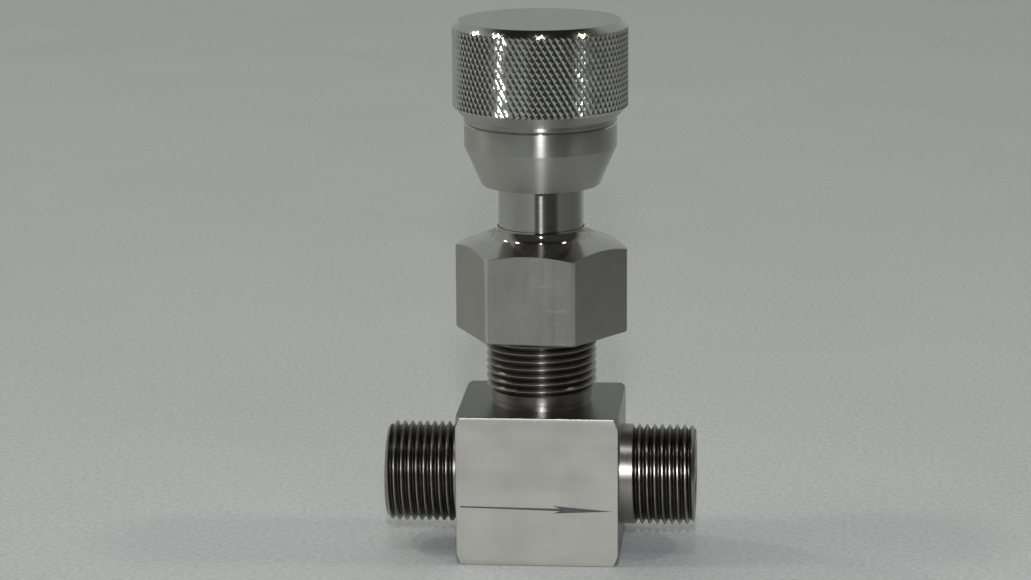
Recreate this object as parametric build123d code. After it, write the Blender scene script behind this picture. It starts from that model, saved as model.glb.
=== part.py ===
from build123d import *

import os
from math import asin, atan2, cos, degrees, hypot, radians, sin, sqrt, tan

# A needle valve with two threaded tube ports in line and a knurled hand knob above.
# Millimetres. The origin is the centre of the block's bottom face. +Z is up the spindle,
# +X is the way the fluid flows (outlet side), and -Y is the marked front face.
# The valve is drawn shut.

# Screw threads, all of the 60 degree metric form
FLANK = tan(radians(30))  # axial rise of a flank for each mm of depth
EXTERNAL_DEPTH = 0.6134  # depth of an external thread, in pitches
INTERNAL_DEPTH = 0.5413  # depth of an internal thread, in pitches
CREST_LAND = 0.125  # width of the flat on a crest, in pitches
thread_play = 0.05  # along the axis, between mated flanks
thread_tip_room = 0.08  # between an external crest and the nut's root
rounding = 1e-6  # so that the last whole pitch of a thread is counted

tool_overrun = 1.0  # how far a cutting shape runs on past the face that it cuts

# Body block
block_length = 32.0  # X, from port side to port side
block_width = 30.0  # Y
block_height = 30.0
block_edge_break = 0.3
bevel_start_radius = 19.5  # the corners of each port side are turned off outside this radius
bevel_angle = 30.0

# Ports: M20x1.5 outside, with a 24 degree cone inside for a 12 mm tube
port_height = 15.0  # the ports' axis, above the base
port_length = 14.75  # from the block's side to the port's end face
port_thread_radius = 10.0
port_pitch = 1.5
port_shank = 2.1  # plain part next to the block
port_end_chamfer = 0.95
port_bore_radius = 4.0
tube_radius = 6.0
tube_socket_depth = 7.0  # from the end face to the tube's stop
socket_mouth_radius = 7.1
socket_cone_angle = 12.0  # to the axis
inlet_bore_depth = 5.0  # past the tube's stop

# Seat and passages below it
orifice_radius = 2.25
seat_radius = 4.0
seat_height = 2.2
seat_mouth_radius = 3.1
point_angle = 30.0  # of the needle's point and of the seat, to the axis
oblique_drill_radius = 1.9
oblique_wall = 0.3  # left between the oblique hole and the seat's pocket
floor_step = 0.2  # the chamber's floor lies this much below the outlet bore
chamber_radius = 5.0

# Neck: M22x1.5 outside, packing box inside
neck_height = 26.0
neck_thread_radius = 10.9
neck_pitch = 1.5
neck_relief_radius = 10.0
neck_relief_length = 2.8
neck_end_chamfer = 1.0
box_radius = 7.0
box_depth = 28.0  # from the neck's top to the shoulder under the packing

# Packing
packing_washer_thickness = 1.5
packing_ring_height = 3.0
packing_ring_count = 4
vee_rise = 1.0  # of the rings' chevron shape
packing_fit = 0.05  # radial, to the needle and to the box
gland_reserve = 1.0  # left for tightening, between the neck's top and the gland's head
gland_head_thickness = 2.0

# Union nut
nut_across_flats = 30.0
nut_corner_radius = 17.1  # the six upright edges are turned to this radius
nut_turn = -4.5  # degrees from +X to the nearest corner
nut_bottom = 44.5
nut_corner_height = 16.76  # of the turned edges
nut_cone_angle = 22.5  # down from level
nut_rim_radius = 10.6  # where the cone ends and the cove round the barrel begins
nut_collar_height = 3.6  # from the shoulder to the collar's top
nut_collar_wall = 0.15  # at its top
nut_cove_radius = 2.9
nut_cove_turn = 50.0  # how far the cove turns from upright
nut_mouth_chamfer = 0.8
nut_relief_play = 1.8  # radial, round the bonnet's flange
nut_relief_length = 5.0
nut_hole_play = 0.15  # radial, round the barrel

# Bonnet
barrel_radius = 8.4
bonnet_length = 26.0
bonnet_flange_thickness = 3.0
bonnet_flange_width = 1.1  # how far the flange stands out from the barrel
bonnet_bore_radius = 7.0
bonnet_lip_thickness = 2.0
bonnet_lip_play = 0.35  # radial, round the stem's screw
bonnet_end_chamfer = 0.4

# Stem, needle and what joins them
needle_radius = 3.5
needle_point_radius = 0.7
shut_gap = 0.06  # axial, between the needle's point and the seat when the valve is shut
stem_thread_radius = 4.95
stem_pitch = 1.0
stem_turns = 5
stem_thread_fit = 0.08  # radial, in the bush
bush_length = 9.9
stop_gap = 0.1  # left between the stem's cup and the bush when fully open
cup_radius = 6.5
cup_bottom_gap = 0.6  # above the gland's head when shut
cup_roof = 2.0
cup_fit = 0.08  # radial, round the needle's head
ball_radius = 1.5
ball_bite = 0.5  # depth of the ball in each dimple
ball_fit = 0.05
groove_radius = 2.4
groove_height = 2.2
needle_head_height = 1.3
pin_radius = 1.0

# Knob
web_gap = 1.0  # between the bonnet's top and the knob's web when shut
web_thickness = 4.0
drive_radius = 4.0
drive_flats = 6.5
drive_fit = 0.05
stud_radius = 2.95
stud_pitch = 1.0
stud_length = 7.5
skirt_bore_play = 0.35  # radial, round the barrel
skirt_length = 12.4  # from the skirt's lower edge to the parting line
skirt_mouth_radius = 11.7
skirt_radius = 15.0
skirt_cone_height = 7.7
parting_rise = 0.4  # from the web's underside to the line where skirt and cap part
parting_bevel = 0.25
spigot_radius = 13.0
spigot_length = 5.6
spigot_pocket_radius = 10.5
cap_collar_height = 0.7
cap_lower_bevel = 2.3
cap_radius = 17.2
cap_height = 20.0
cap_top_bevel_height = 1.55
cap_top_radius = 15.9
cap_roof = 4.4
cap_bore_radius = 12.0
spigot_end_gap = 0.1
washer_radius = 6.0
washer_thickness = 1.2
washer_play = 0.25
knob_nut_across_flats = 10.0
knob_nut_height = 5.0
knob_nut_play = 0.05

# Heights and lengths that follow from the sizes above
port_reach = block_length / 2 + port_length
socket_bottom = port_reach - tube_socket_depth
chamber_floor = port_height - port_bore_radius - floor_step
seat_bottom = chamber_floor - seat_height
seat_cone_start = chamber_floor - (seat_mouth_radius - orifice_radius) / tan(radians(point_angle))
neck_top = block_height + neck_height
box_floor = neck_top - box_depth
packing_start = box_floor + packing_washer_thickness
packing_end = packing_start + packing_ring_count * packing_ring_height
gland_head_bottom = neck_top + gland_reserve
bonnet_bottom = gland_head_bottom + gland_head_thickness
nut_shoulder = bonnet_bottom + bonnet_flange_thickness
nut_top = nut_shoulder + nut_collar_height
flange_radius = barrel_radius + bonnet_flange_width
nut_relief_radius = flange_radius + nut_relief_play
bonnet_top = bonnet_bottom + bonnet_length
bush_top = bonnet_top - bonnet_lip_thickness
bush_bottom = bush_top - bush_length
lift = stem_pitch * stem_turns
cup_top = bush_bottom - lift - stop_gap
cup_bottom = bonnet_bottom + cup_bottom_gap
cup_ceiling = cup_top - cup_roof
ball_height = cup_ceiling - ball_radius + ball_bite
needle_top = ball_height - ball_radius + ball_bite
pin_height = needle_top - needle_head_height - groove_height / 2
pin_offset = needle_radius
web_bottom = bonnet_top + web_gap
web_top = web_bottom + web_thickness
parting = web_bottom + parting_rise
skirt_bottom = parting - skirt_length
spigot_top = parting + spigot_length
cap_top = parting + cap_height


def turned(outline):
    """A solid turned about Z, from (radius, height) points."""
    return revolve(Plane.XZ * make_face(Polyline(*outline, close=True)), Axis.Z)


def tube(outer, inner, bottom, top):
    """A straight ring, or a rod where inner is 0."""
    return turned([(inner, bottom), (outer, bottom), (outer, top), (inner, top)])


def groove_centres(start, end, pitch):
    """Heights of the thread grooves that fit between start and end."""
    count = int((end - start) / pitch + rounding)
    return [start + pitch * (i + 0.5) for i in range(count)]


def external_thread(start, end, crest, pitch):
    """Outline points of an external thread, drawn as rings, from start up to end."""
    root = crest - EXTERNAL_DEPTH * pitch
    half_mouth = pitch * (1 - CREST_LAND) / 2
    half_root = half_mouth - (crest - root) * FLANK
    points = [(crest, start)]
    for centre in groove_centres(start, end, pitch):
        points += [(crest, centre - half_mouth), (root, centre - half_root)]
        points += [(root, centre + half_root), (crest, centre + half_mouth)]
    return points + [(crest, end)]


def internal_thread(centres, crest, pitch):
    """Outline points of the rings of a nut that stand in an external thread's grooves."""
    tip = crest - INTERNAL_DEPTH * pitch
    root = crest + thread_tip_room
    half_mouth = pitch * (1 - CREST_LAND) / 2
    half_tip = half_mouth - (crest - tip) * FLANK - thread_play
    half_root = half_mouth + thread_tip_room * FLANK - thread_play
    points = []
    for centre in centres:
        points += [(root, centre - half_root), (tip, centre - half_tip)]
        points += [(tip, centre + half_tip), (root, centre + half_root)]
    return points


def along_flow(shape, way):
    """Lays a piece turned about Z onto the ports' axis, pointing to +X (way 1) or -X (way -1)."""
    return Pos(0, 0, port_height) * Rot(0, 90 * way, 0) * shape


def port():
    """One threaded port, from the valve's centre to its end face, with its end bevelled."""
    start = block_length / 2 + port_shank
    thread = external_thread(start, port_reach, port_thread_radius, port_pitch)
    rod = turned([(0, 0), (port_thread_radius, 0)] + thread + [(0, port_reach)])
    shoulder = port_reach - port_end_chamfer
    blank = [
        (0, 0),
        (port_thread_radius, 0),
        (port_thread_radius, shoulder),
        (port_thread_radius - port_end_chamfer, port_reach),
        (0, port_reach),
    ]
    return rod & turned(blank)


def port_passage(inner_end):
    """What is bored out of a port: cone, tube socket and bore, down to inner_end."""
    cone_depth = (socket_mouth_radius - tube_radius) / tan(radians(socket_cone_angle))
    outside = port_reach + tool_overrun
    return turned(
        [
            (0, inner_end),
            (port_bore_radius, inner_end),
            (port_bore_radius, socket_bottom),
            (tube_radius, socket_bottom),
            (tube_radius, port_reach - cone_depth),
            (socket_mouth_radius, port_reach),
            (socket_mouth_radius, outside),
            (0, outside),
        ]
    )


def oblique_passage():
    """The slanting hole from the inlet's tube socket to below the seat, and the rise to the seat."""
    run = socket_bottom - seat_radius
    drop = port_height - seat_bottom
    slope = atan2(drop, run) + asin((oblique_drill_radius + oblique_wall) / hypot(run, drop))
    length = socket_bottom / cos(slope) + oblique_drill_radius / 2
    drill = Cylinder(oblique_drill_radius, length, align=(Align.CENTER, Align.CENTER, Align.MIN))
    hole = Pos(-socket_bottom, 0, port_height) * Rot(0, 90 + degrees(slope), 0) * drill
    rise = tube(orifice_radius, 0, port_height - socket_bottom * tan(slope), seat_bottom)
    return hole + rise


def neck():
    """The threaded neck, from inside the block to its bevelled top."""
    relief_top = block_height + neck_relief_length
    thread = external_thread(relief_top, neck_top, neck_thread_radius, neck_pitch)
    middle = block_height / 2
    rod = turned(
        [(0, middle), (neck_relief_radius, middle), (neck_relief_radius, relief_top)]
        + thread[1:]
        + [(0, neck_top)]
    )
    shoulder = neck_top - neck_end_chamfer
    blank = [
        (0, middle),
        (neck_thread_radius, middle),
        (neck_thread_radius, shoulder),
        (neck_thread_radius - neck_end_chamfer, neck_top),
        (0, neck_top),
    ]
    return rod & turned(blank)


def block():
    """The square block, its corners turned off on the two port sides."""
    base = (Align.CENTER, Align.CENTER, Align.MIN)
    cube = Box(block_length, block_width, block_height, align=base)
    cube = chamfer(cube.edges(), block_edge_break)
    half = block_length / 2
    widest = hypot(block_width, block_height)
    inset = (widest - bevel_start_radius) * tan(radians(bevel_angle))
    side = [
        (0, 0),
        (widest, 0),
        (widest, half - inset),
        (bevel_start_radius, half),
        (0, half),
    ]
    return cube & (along_flow(turned(side), 1) + along_flow(turned(side), -1))


def valve_body():
    """Block, ports and neck in one piece, with all the passages bored."""
    body = block() + along_flow(port(), 1) + along_flow(port(), -1) + neck()
    body -= along_flow(port_passage(chamber_radius / 2), 1)
    body -= along_flow(port_passage(socket_bottom - inlet_bore_depth), -1)
    body -= oblique_passage()
    body -= tube(seat_radius, 0, seat_bottom, chamber_floor)
    body -= tube(chamber_radius, 0, chamber_floor, box_floor)
    body -= tube(box_radius, 0, box_floor, neck_top)
    return body


def seat_insert():
    return turned(
        [
            (orifice_radius, seat_bottom),
            (seat_radius, seat_bottom),
            (seat_radius, chamber_floor),
            (seat_mouth_radius, chamber_floor),
            (orifice_radius, seat_cone_start),
        ]
    )


def dimple(play):
    """The hollow that the thrust ball lies in."""
    return Pos(0, 0, ball_height) * Sphere(ball_radius + play)


def needle():
    """Lower stem: point, shank, the groove for the pins, and a head that takes the ball."""
    point_end = seat_cone_start + shut_gap
    point_start = point_end - (orifice_radius - needle_point_radius) / tan(radians(point_angle))
    shank_start = point_end + (needle_radius - orifice_radius) / tan(radians(point_angle))
    groove_bottom = pin_height - groove_height / 2
    groove_top = pin_height + groove_height / 2
    shape = turned(
        [
            (0, point_start),
            (needle_point_radius, point_start),
            (needle_radius, shank_start),
            (needle_radius, groove_bottom),
            (groove_radius, groove_bottom),
            (groove_radius, groove_top),
            (needle_radius, groove_top),
            (needle_radius, needle_top),
            (0, needle_top),
        ]
    )
    return shape - dimple(ball_fit)


def thrust_ball():
    return Pos(0, 0, ball_height) * Sphere(ball_radius)


def pin_rod(side, half_length, radius):
    """A rod along Y beside the needle's groove, on the side +1 or -1 of X."""
    rod = Cylinder(radius, 2 * half_length, rotation=(90, 0, 0))
    return Pos(side * pin_offset, 0, pin_height) * rod


def needle_pin(side):
    outer_edge = pin_offset + pin_radius
    return pin_rod(side, sqrt(cup_radius**2 - outer_edge**2), pin_radius)


def vee_outline(inner, outer, bottom, top, bottom_rise, top_rise):
    """A ring's outline with a ridge or hollow of the given rise in its lower and upper face."""
    middle = (inner + outer) / 2
    return [
        (inner, bottom),
        (middle, bottom + bottom_rise),
        (outer, bottom),
        (outer, top),
        (middle, top + top_rise),
        (inner, top),
    ]


def packing_washer():
    inner = needle_radius + packing_fit
    outer = box_radius - packing_fit
    return turned(
        [
            (inner, box_floor),
            (outer, box_floor),
            (outer, packing_start),
            ((inner + outer) / 2, packing_start + vee_rise),
            (inner, packing_start),
        ]
    )


def packing_ring(index):
    inner = needle_radius + packing_fit
    outer = box_radius - packing_fit
    bottom = packing_start + index * packing_ring_height
    top = bottom + packing_ring_height
    return turned(vee_outline(inner, outer, bottom, top, vee_rise, vee_rise))


def packing_gland():
    """Pusher: a spigot on the packing and a head above the neck, under the bonnet."""
    inner = needle_radius + packing_fit
    outer = box_radius - packing_fit
    spigot = turned(vee_outline(inner, outer, packing_end, bonnet_bottom, vee_rise, 0))
    return spigot + tube(flange_radius, inner, gland_head_bottom, bonnet_bottom)


def bonnet():
    """Flanged barrel: bored from below for the cup and the bush, with a lip at the top."""
    lip_radius = stem_thread_radius + bonnet_lip_play
    return turned(
        [
            (bonnet_bore_radius, bonnet_bottom),
            (flange_radius, bonnet_bottom),
            (flange_radius, nut_shoulder),
            (barrel_radius, nut_shoulder),
            (barrel_radius, bonnet_top - bonnet_end_chamfer),
            (barrel_radius - bonnet_end_chamfer, bonnet_top),
            (lip_radius, bonnet_top),
            (lip_radius, bush_top),
            (bonnet_bore_radius, bush_top),
        ]
    )


def union_nut():
    """Hexagon nut with a turned cone, a cove round the barrel, and ring threads that engage the neck's."""
    hexagon = RegularPolygon(nut_across_flats / 2, 6, major_radius=False, rotation=nut_turn)
    prism = Pos(0, 0, nut_bottom) * extrude(hexagon, nut_top - nut_bottom)
    hole = barrel_radius + nut_hole_play
    collar = hole + nut_collar_wall
    corner_top = nut_bottom + nut_corner_height
    rim_top = corner_top + (nut_corner_radius - nut_rim_radius) * tan(radians(nut_cone_angle))

    def cove(turn):
        """A point of the cove, turn degrees on from its upright end."""
        return (
            collar + nut_cove_radius * (1 - cos(radians(turn))),
            nut_top - nut_cove_radius * sin(radians(turn)),
        )

    outline = ThreePointArc(*(cove(turn) for turn in (0, nut_cove_turn / 2, nut_cove_turn))) + Polyline(
        cove(nut_cove_turn),
        (nut_rim_radius, rim_top),
        (nut_corner_radius, corner_top),
        (nut_corner_radius, nut_bottom),
        (0, nut_bottom),
        (0, nut_top),
        (collar, nut_top),
    )
    outside = revolve(Plane.XZ * make_face(outline), Axis.Z)
    relief_bottom = nut_shoulder - nut_relief_length
    mouth_top = nut_bottom + nut_mouth_chamfer
    grooves = groove_centres(block_height + neck_relief_length, neck_top, neck_pitch)
    engaged = [c for c in grooves if mouth_top + neck_pitch < c < relief_bottom - neck_pitch]
    thread_root = neck_thread_radius + thread_tip_room
    inside = turned(
        [
            (0, nut_bottom),
            (thread_root + nut_mouth_chamfer, nut_bottom),
            (thread_root, mouth_top),
        ]
        + internal_thread(engaged, neck_thread_radius, neck_pitch)
        + [
            (thread_root, relief_bottom),
            (nut_relief_radius, relief_bottom),
            (nut_relief_radius, nut_shoulder),
            (hole, nut_shoulder),
            (hole, nut_top),
            (0, nut_top),
        ]
    )
    return (prism & outside) - inside


def stem_bush():
    return tube(bonnet_bore_radius, stem_thread_radius + stem_thread_fit, bush_bottom, bush_top)


def flats(radius, across, bottom, top):
    """A rod with two parallel flats, which face front and back."""
    rod = tube(radius, 0, bottom, top)
    middle = (bottom + top) / 2
    return rod & (Pos(0, 0, middle) * Box(2 * radius, across, top - bottom))


def stem():
    """Upper stem: cup round the needle's head, screw, drive flats and stud."""
    screw = external_thread(cup_top, web_bottom, stem_thread_radius, stem_pitch)
    shape = turned(
        [(0, cup_bottom), (cup_radius, cup_bottom), (cup_radius, cup_top)]
        + screw
        + [(0, web_bottom)]
    )
    stud_end = web_top + stud_length
    stud = turned(
        [(0, web_top)]
        + external_thread(web_top, stud_end, stud_radius, stud_pitch)
        + [(0, stud_end)]
    )
    shape += flats(drive_radius, drive_flats, web_bottom, web_top) + stud
    shape -= tube(needle_radius + cup_fit, 0, cup_bottom, cup_ceiling)
    shape -= dimple(0)
    for side in (1, -1):
        shape -= pin_rod(side, cup_radius, pin_radius)
    return shape


def knob_skirt():
    """Lower half of the knob: a coned skirt over the barrel, a web, and a spigot for the cap."""
    bore = barrel_radius + skirt_bore_play
    shape = turned(
        [
            (bore, skirt_bottom),
            (skirt_mouth_radius, skirt_bottom),
            (skirt_radius, skirt_bottom + skirt_cone_height),
            (skirt_radius, parting - parting_bevel),
            (skirt_radius - parting_bevel, parting),
            (spigot_radius, parting),
            (spigot_radius, spigot_top),
            (spigot_pocket_radius, spigot_top),
            (spigot_pocket_radius, web_top),
            (0, web_top),
            (0, web_bottom),
            (bore, web_bottom),
        ]
    )
    return shape - flats(drive_radius + drive_fit, drive_flats + 2 * drive_fit, web_bottom, web_top)


def knob_cap():
    """Upper half of the knob: the gripping rim, with a flat top, pressed on the spigot."""
    collar_top = parting + parting_bevel + cap_collar_height
    roof = cap_top - cap_roof
    return turned(
        [
            (spigot_radius, parting),
            (skirt_radius - parting_bevel, parting),
            (skirt_radius, parting + parting_bevel),
            (skirt_radius, collar_top),
            (cap_radius, collar_top + cap_lower_bevel),
            (cap_radius, cap_top - cap_top_bevel_height),
            (cap_top_radius, cap_top),
            (0, cap_top),
            (0, roof),
            (cap_bore_radius, roof),
            (cap_bore_radius, spigot_top + spigot_end_gap),
            (spigot_radius, spigot_top + spigot_end_gap),
        ]
    )


def knob_washer():
    return tube(washer_radius, stud_radius + washer_play, web_top, web_top + washer_thickness)


def knob_nut():
    hexagon = RegularPolygon(knob_nut_across_flats / 2, 6, major_radius=False)
    bottom = web_top + washer_thickness
    prism = Pos(0, 0, bottom) * extrude(hexagon, knob_nut_height)
    return prism - tube(stud_radius + knob_nut_play, 0, bottom, bottom + knob_nut_height)


nodes = {
    "valve_body": valve_body(),
    "seat_insert": seat_insert(),
    "needle": needle(),
    "thrust_ball": thrust_ball(),
    "needle_pin_1": needle_pin(1),
    "needle_pin_2": needle_pin(-1),
    "packing_washer": packing_washer(),
    "packing_gland": packing_gland(),
    "bonnet": bonnet(),
    "union_nut": union_nut(),
    "stem_bush": stem_bush(),
    "stem": stem(),
    "knob_skirt": knob_skirt(),
    "knob_washer": knob_washer(),
    "knob_nut": knob_nut(),
    "knob_cap": knob_cap(),
}
for index in range(packing_ring_count):
    nodes[f"packing_ring_{index + 1}"] = packing_ring(index)

os.makedirs("parts", exist_ok=True)
for name, shape in nodes.items():
    export_step(shape, f"parts/{name}.step")
    print(f"{name}: {len(shape.solids())} solid, {shape.volume:.1f} mm3")
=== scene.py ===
# %% [markdown]
# # A needle valve in turned titanium
# This lesson dresses a needle valve: a square block with a threaded port on each side, a threaded
# neck, a hexagon union nut, a guide barrel and a two-part round knob with a knurled rim.
# The solid model is already packed as a frame, with every part in its place. Here each visible part
# gets a finer mesh and its own finish, and what is hidden inside keeps the frame's shape.

# %% Load the frame
from math import atan2, ceil, cos, pi, radians, sin, sqrt, tan

import bmesh
import bpy
from mathutils import Matrix, Vector


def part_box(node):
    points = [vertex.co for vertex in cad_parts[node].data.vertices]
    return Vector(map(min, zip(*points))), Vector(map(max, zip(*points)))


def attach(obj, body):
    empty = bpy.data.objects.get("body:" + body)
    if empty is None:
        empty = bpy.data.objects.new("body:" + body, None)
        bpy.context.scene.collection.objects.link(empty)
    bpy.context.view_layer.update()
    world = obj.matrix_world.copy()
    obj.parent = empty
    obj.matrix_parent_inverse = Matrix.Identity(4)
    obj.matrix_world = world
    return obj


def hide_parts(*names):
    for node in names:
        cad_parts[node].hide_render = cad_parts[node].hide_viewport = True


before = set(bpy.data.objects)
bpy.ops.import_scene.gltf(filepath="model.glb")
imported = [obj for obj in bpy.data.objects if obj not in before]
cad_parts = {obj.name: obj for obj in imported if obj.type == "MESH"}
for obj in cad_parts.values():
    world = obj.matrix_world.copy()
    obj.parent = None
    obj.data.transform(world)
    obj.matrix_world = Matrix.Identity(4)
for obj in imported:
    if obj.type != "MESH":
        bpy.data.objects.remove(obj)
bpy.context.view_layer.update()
scene = bpy.context.scene

# %% [markdown]
# ## Sizes
# The frame says where each part begins and ends, so those heights are read from it. What a box can't
# say, such as a shoulder's radius or a thread's pitch, is a named value below. Everything is worked
# out in millimetres, the unit of the drawing, and turned into metres when a mesh is made.

# %% Sizes read from the frame, in millimetres
MM = 0.001


def reach(node):
    """The lowest and highest corner of a node's box, in millimetres."""
    low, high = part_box(node)
    return low / MM, high / MM


body_high = reach("valve_body")[1]
nut_low, nut_high = reach("union_nut")
bonnet_low, bonnet_high = reach("bonnet")
skirt_low, skirt_high = reach("knob_skirt")
cap_low, cap_high = reach("knob_cap")

port_end = body_high.x
block_half_width = body_high.y
neck_top = body_high.z
barrel_foot = bonnet_low.z
barrel_top = bonnet_high.z
nut_bottom = nut_low.z
nut_top = nut_high.z
skirt_bottom = skirt_low.z
skirt_radius = skirt_high.x
parting = cap_low.z
cap_top = cap_high.z
cap_radius = cap_high.x
print({"port end": round(port_end, 2), "neck top": round(neck_top, 2), "cap top": round(cap_top, 2)})

# %% [markdown]
# ## Small helpers for node trees
# Both finishes and Geometry Nodes are trees of small sums. A small class lets a formula be written with
# the usual signs, and each sign makes a node. A number that is the same everywhere is set on the socket.

# %% Node helpers


class Sum:
    """An output of a tree, with which a formula can be written in signs."""

    def __init__(self, tree, out):
        self.tree, self.out = tree, out

    def of(self, operation, *terms, clamp=False):
        return calc(self.tree, operation, self, *terms, clamp=clamp)

    def __add__(self, other):
        return self.of("ADD", other)

    def __sub__(self, other):
        return self.of("SUBTRACT", other)

    def __mul__(self, other):
        return self.of("MULTIPLY", other)

    def __truediv__(self, other):
        return self.of("DIVIDE", other)


def feed(tree, socket, value):
    """Links an output to the socket, or sets the socket's own value."""
    value = value.out if isinstance(value, Sum) else value
    if isinstance(value, bpy.types.NodeSocket):
        tree.links.new(value, socket)
    else:
        socket.default_value = value


def node(tree, kind, terms=None, **settings):
    """A new node with its settings, and with terms, outputs or numbers, on its named inputs."""
    made = tree.nodes.new(kind)
    for name, value in settings.items():
        setattr(made, name, value)
    for name, term in (terms or {}).items():
        feed(tree, made.inputs[name], term)
    return made


def calc(tree, operation, *terms, clamp=False):
    """One sum: terms are outputs or numbers."""
    step = node(tree, "ShaderNodeMath", operation=operation, use_clamp=clamp)
    for socket, term in zip(step.inputs, terms):
        feed(tree, socket, term)
    return Sum(tree, step.outputs[0])


def ramp(tree, value, low, high, start=0.0, end=1.0):
    """Takes value from the range low..high to start..end, and stops there."""
    terms = {"Value": value, "From Min": low, "From Max": high, "To Min": start, "To Max": end}
    return Sum(tree, node(tree, "ShaderNodeMapRange", terms, clamp=True).outputs["Result"])


def split_up(tree, where):
    """A vector's three parts."""
    return [Sum(tree, part) for part in node(tree, "ShaderNodeSeparateXYZ", {0: where}).outputs]


def blend(tree, share, first, second):
    """Mixes two colours."""
    step = node(tree, "ShaderNodeMix", data_type="RGBA")
    for name, term in {"Factor": share, "A": first, "B": second}.items():
        feed(tree, step.inputs[name], (*term, 1.0) if isinstance(term, tuple) else term)
    return step.outputs["Result"]


def new_finish(name):
    """A new material, its tree and its shader."""
    made = bpy.data.materials.new(name)
    made.use_nodes = True
    return made, made.node_tree, made.node_tree.nodes["Principled BSDF"]


def bumpy(tree, shader, strength, height):
    """Lets a noise raise the surface by some microns."""
    step = node(tree, "ShaderNodeBump", {"Strength": strength, "Distance": 0.00002, "Height": height})
    feed(tree, shader.inputs["Normal"], step.outputs[0])


def dress(piece, *names):
    """Gives a mesh its finishes, in the order of its faces' numbers."""
    for name in names:
        piece.data.materials.append(finish[name])


def by_finish(piece):
    """How many faces have each finish."""
    numbers = [face.material_index for face in piece.data.polygons]
    return [numbers.count(i) for i in range(len(piece.data.materials))]


print("node helpers ready")

# %% [markdown]
# ## Meshes from rings
# Most of this valve was made in a lathe, so most of its pieces are outlines turned round an axis.
# Blender's Spin tool could do it, but a function that lays ring after ring keeps full control: the
# columns of two meshes can be made to match, and a ring may follow a hexagon where it isn't round.

# %% Ring helpers
STEPS = 180  # columns round a turned piece
WELD = 1e-6  # metres: points nearer than this are one point
CRISP = radians(28)  # an edge sharper than this stays sharp


def evenly(count):
    """Angles of the columns round a turned piece."""
    return [2 * pi * i / count for i in range(count)]


def ring_faces(shape, angles, rows, closed=True):
    """Adds rings to a bmesh. A row is (radius, height), or a list with one such pair for each column."""
    rings = []
    for row in rows:
        spots = row if isinstance(row, list) else [row] * len(angles)
        places = [(r * cos(a) * MM, r * sin(a) * MM, z * MM) for a, (r, z) in zip(angles, spots)]
        rings.append([shape.verts.new(place) for place in places])
    for lower, upper in zip(rings, rings[1:] + rings[:1] if closed else rings[1:]):
        for i in range(len(angles)):
            j = (i + 1) % len(angles)
            shape.faces.new((lower[i], lower[j], upper[j], upper[i]))


def weld(shape):
    """Makes one point of points that coincide."""
    bmesh.ops.remove_doubles(shape, verts=shape.verts, dist=WELD)
    bmesh.ops.dissolve_degenerate(shape, edges=shape.edges, dist=WELD)


def fill_mesh(shape, mesh, crisp):
    """Writes a bmesh into a mesh, smooth apart from its sharp edges."""
    shape.to_mesh(mesh)
    shape.free()
    mesh.polygons.foreach_set("use_smooth", [True] * len(mesh.polygons))
    mesh.set_sharp_from_angle(angle=crisp)


def finish_mesh(shape, name, crisp=CRISP):
    """Welds a bmesh, turns its faces outwards and makes it an object."""
    weld(shape)
    bmesh.ops.recalc_face_normals(shape, faces=shape.faces)
    mesh = bpy.data.meshes.new(name)
    fill_mesh(shape, mesh, crisp)
    made = bpy.data.objects.new(name, mesh)
    scene.collection.objects.link(made)
    return made


def turned(name, outline, steps=STEPS, crisp=CRISP):
    """A closed piece turned round Z from (radius, height) points in millimetres."""
    shape = bmesh.new()
    ring_faces(shape, evenly(steps), outline)
    return finish_mesh(shape, name, crisp)


def open_edges(piece):
    """How many edges of a mesh don't have exactly two faces."""
    shape = bmesh.new()
    shape.from_mesh(piece.data)
    count = sum(1 for edge in shape.edges if len(edge.link_faces) != 2)
    shape.free()
    return count


print("columns round a turned piece", STEPS)

# %% [markdown]
# ## Cutting one mesh with another
# The bores and the turned-off corners of the block are cuts. A Boolean modifier makes them, and its
# result is turned into a plain mesh at once, so that no modifier is left on a finished piece.

# %% Boolean helper


def cut(piece, tool, operation="DIFFERENCE"):
    """Cuts piece with tool, or keeps what both share, and throws the tool away."""
    step = piece.modifiers.new("Cut", "BOOLEAN")
    step.operation = operation
    step.solver = "EXACT"
    step.object = tool
    ready = piece.evaluated_get(bpy.context.evaluated_depsgraph_get())
    mesh = bpy.data.meshes.new_from_object(ready)
    piece.modifiers.remove(step)
    piece.data = mesh
    bpy.data.objects.remove(tool)
    return piece


def lay_down(piece, way):
    """Lays a piece turned round Z onto the ports' axis, pointing to +X (way 1) or -X (way -1)."""
    piece.data.transform(Matrix.Rotation(way * pi / 2, 4, "Y"))
    piece.data.transform(Matrix.Translation((0, 0, port_height * MM)))
    return piece


def regroup(piece, crisp=CRISP):
    """Smooths a cut piece again, keeping its sharp edges."""
    shape = bmesh.new()
    shape.from_mesh(piece.data)
    weld(shape)
    fill_mesh(shape, piece.data, crisp)
    return piece


port_height = 15.0  # the ports' axis, above the block's bottom face
print("ports' axis at", port_height)

# %% [markdown]
# ## The camera
# A long lens from a little above, so that the upright sides stay nearly parallel. The camera is set by
# where it stands and how it is turned: a pan, a tilt and a small roll.

# %% Camera
camera_distance = 636.806  # level distance from the spindle's axis
camera_height = 194.935
camera_azimuth = radians(4.365)  # to the right of straight in front
camera_pan = radians(0.46)
camera_tilt = radians(12.614)
camera_roll = radians(-0.388)

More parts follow.
